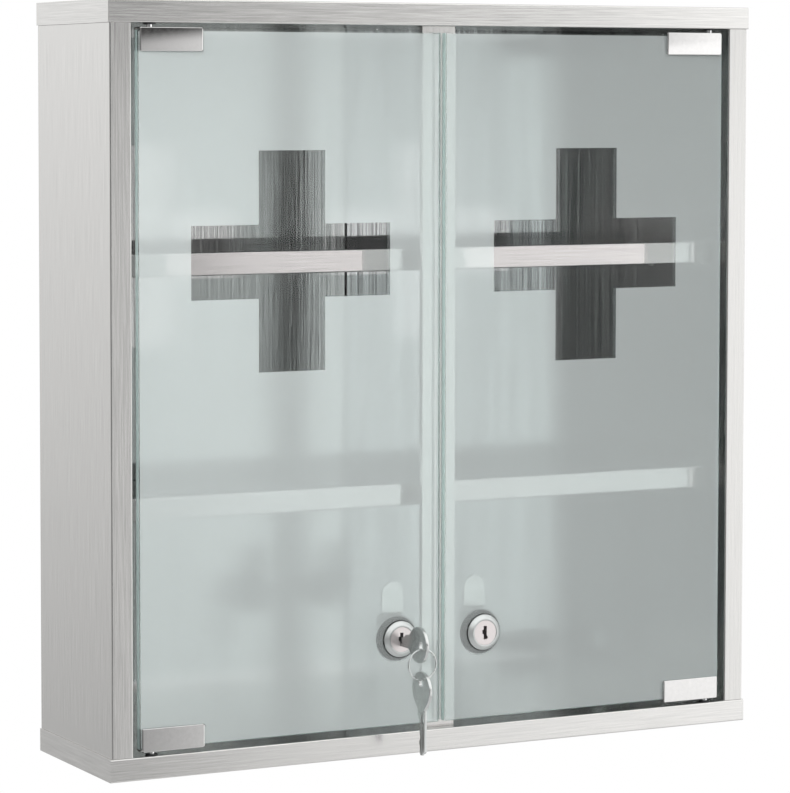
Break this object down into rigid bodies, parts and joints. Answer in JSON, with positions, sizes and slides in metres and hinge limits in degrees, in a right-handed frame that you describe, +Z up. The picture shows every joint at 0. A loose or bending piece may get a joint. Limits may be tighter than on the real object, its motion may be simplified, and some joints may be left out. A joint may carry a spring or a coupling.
{
  "type": "medicine cabinet",
  "caption": "Shallow wall cabinet of folded steel with frosted glass double doors on corner pivots, cam locks, shelves, and a key with its spare on a ring.",
  "frame": {"origin": "centre of the four wall holes, on the rear face of the back sheets, 2 mm in front of the wall", "axes": "+X to the right as seen from the front, +Y towards the wall, +Z up"},
  "size_m": [0.482, 0.1643, 0.5],
  "materials": {
    "brushed_stainless": "satin, brushed along the panels",
    "back_steel": "satin",
    "frosted_glass": "frosted on both faces, with a clear cross",
    "satin_chrome": "satin",
    "lock_chrome": "satin",
    "zinc_steel": "satin",
    "bright_wire": "polished",
    "nickel_key": "satin",
    "black_rubber": "matt",
    "black_plastic": "matt"
  },
  "bodies": {
    "case": {"top_panel": "brushed_stainless", "bottom_panel": "brushed_stainless", "left_side_panel": "brushed_stainless", "right_side_panel": "brushed_stainless", "corner_blocks": "black_plastic", "case_screws": "zinc_steel", "left_back_sheet": "back_steel", "right_back_sheet": "back_steel", "back_rivets": "zinc_steel", "centre_post": "brushed_stainless", "post_screws": "zinc_steel", "upper_shelf": "brushed_stainless", "lower_shelf": "brushed_stainless", "upper_shelf_pegs": "zinc_steel", "lower_shelf_pegs": "zinc_steel", "pivot_bushes": "black_plastic"},
    "left_door": {"left_door_glass": "frosted_glass", "left_top_clamp": "satin_chrome", "left_bottom_clamp": "satin_chrome", "left_clamp_pads": "black_rubber", "left_clamp_screws": "zinc_steel", "left_pivot_pins": "bright_wire", "left_lock_barrel": "lock_chrome", "left_lock_gaskets": "black_rubber", "left_lock_nut": "zinc_steel"},
    "right_door": {"right_door_glass": "frosted_glass", "right_top_clamp": "satin_chrome", "right_bottom_clamp": "satin_chrome", "right_clamp_pads": "black_rubber", "right_clamp_screws": "zinc_steel", "right_pivot_pins": "bright_wire", "right_lock_barrel": "lock_chrome", "right_lock_gaskets": "black_rubber", "right_lock_nut": "zinc_steel"},
    "left_lock_plug": {"left_lock_plug": "lock_chrome", "left_lock_cam": "zinc_steel", "left_cam_screw": "zinc_steel"},
    "right_lock_plug": {"right_lock_plug": "lock_chrome", "right_lock_cam": "zinc_steel", "right_cam_screw": "zinc_steel"},
    "key": {"key": "nickel_key"},
    "key_ring": {"key_ring": "bright_wire"},
    "spare_key": {"spare_key": "nickel_key"}
  },
  "joints": [
    {"name": "left_door_hinge", "type": "hinge", "parent": "case", "child": "left_door", "pos_m": [-0.211, -0.1158, 0], "axis": [0, 0, -1], "range_deg": [0, 145]},
    {"name": "right_door_hinge", "type": "hinge", "parent": "case", "child": "right_door", "pos_m": [0.211, -0.1158, 0], "axis": [0, 0, 1], "range_deg": [0, 145]},
    {"name": "left_lock_turn", "type": "hinge", "parent": "left_door", "child": "left_lock_plug", "pos_m": [-0.0318, -0.1158, -0.1724], "axis": [0, 1, 0], "range_deg": [0, 90]},
    {"name": "right_lock_turn", "type": "hinge", "parent": "right_door", "child": "right_lock_plug", "pos_m": [0.0318, -0.1158, -0.1724], "axis": [0, -1, 0], "range_deg": [0, 90]},
    {"name": "key_slide", "type": "slide", "parent": "left_lock_plug", "child": "key", "axis": [0, -1, 0], "range_m": [0, 0.025]},
    {"name": "ring_tilt", "type": "hinge", "parent": "key", "child": "key_ring", "pos_m": [-0.0318, -0.1503, -0.17458], "axis": [1, 0, 0], "range_deg": [-60, 18]},
    {"name": "spare_key_swing", "type": "hinge", "parent": "key_ring", "child": "spare_key", "pos_m": [-0.0318, -0.1503, -0.18478], "axis": [0, 1, 0], "range_deg": [-120, 120]}
  ]
}
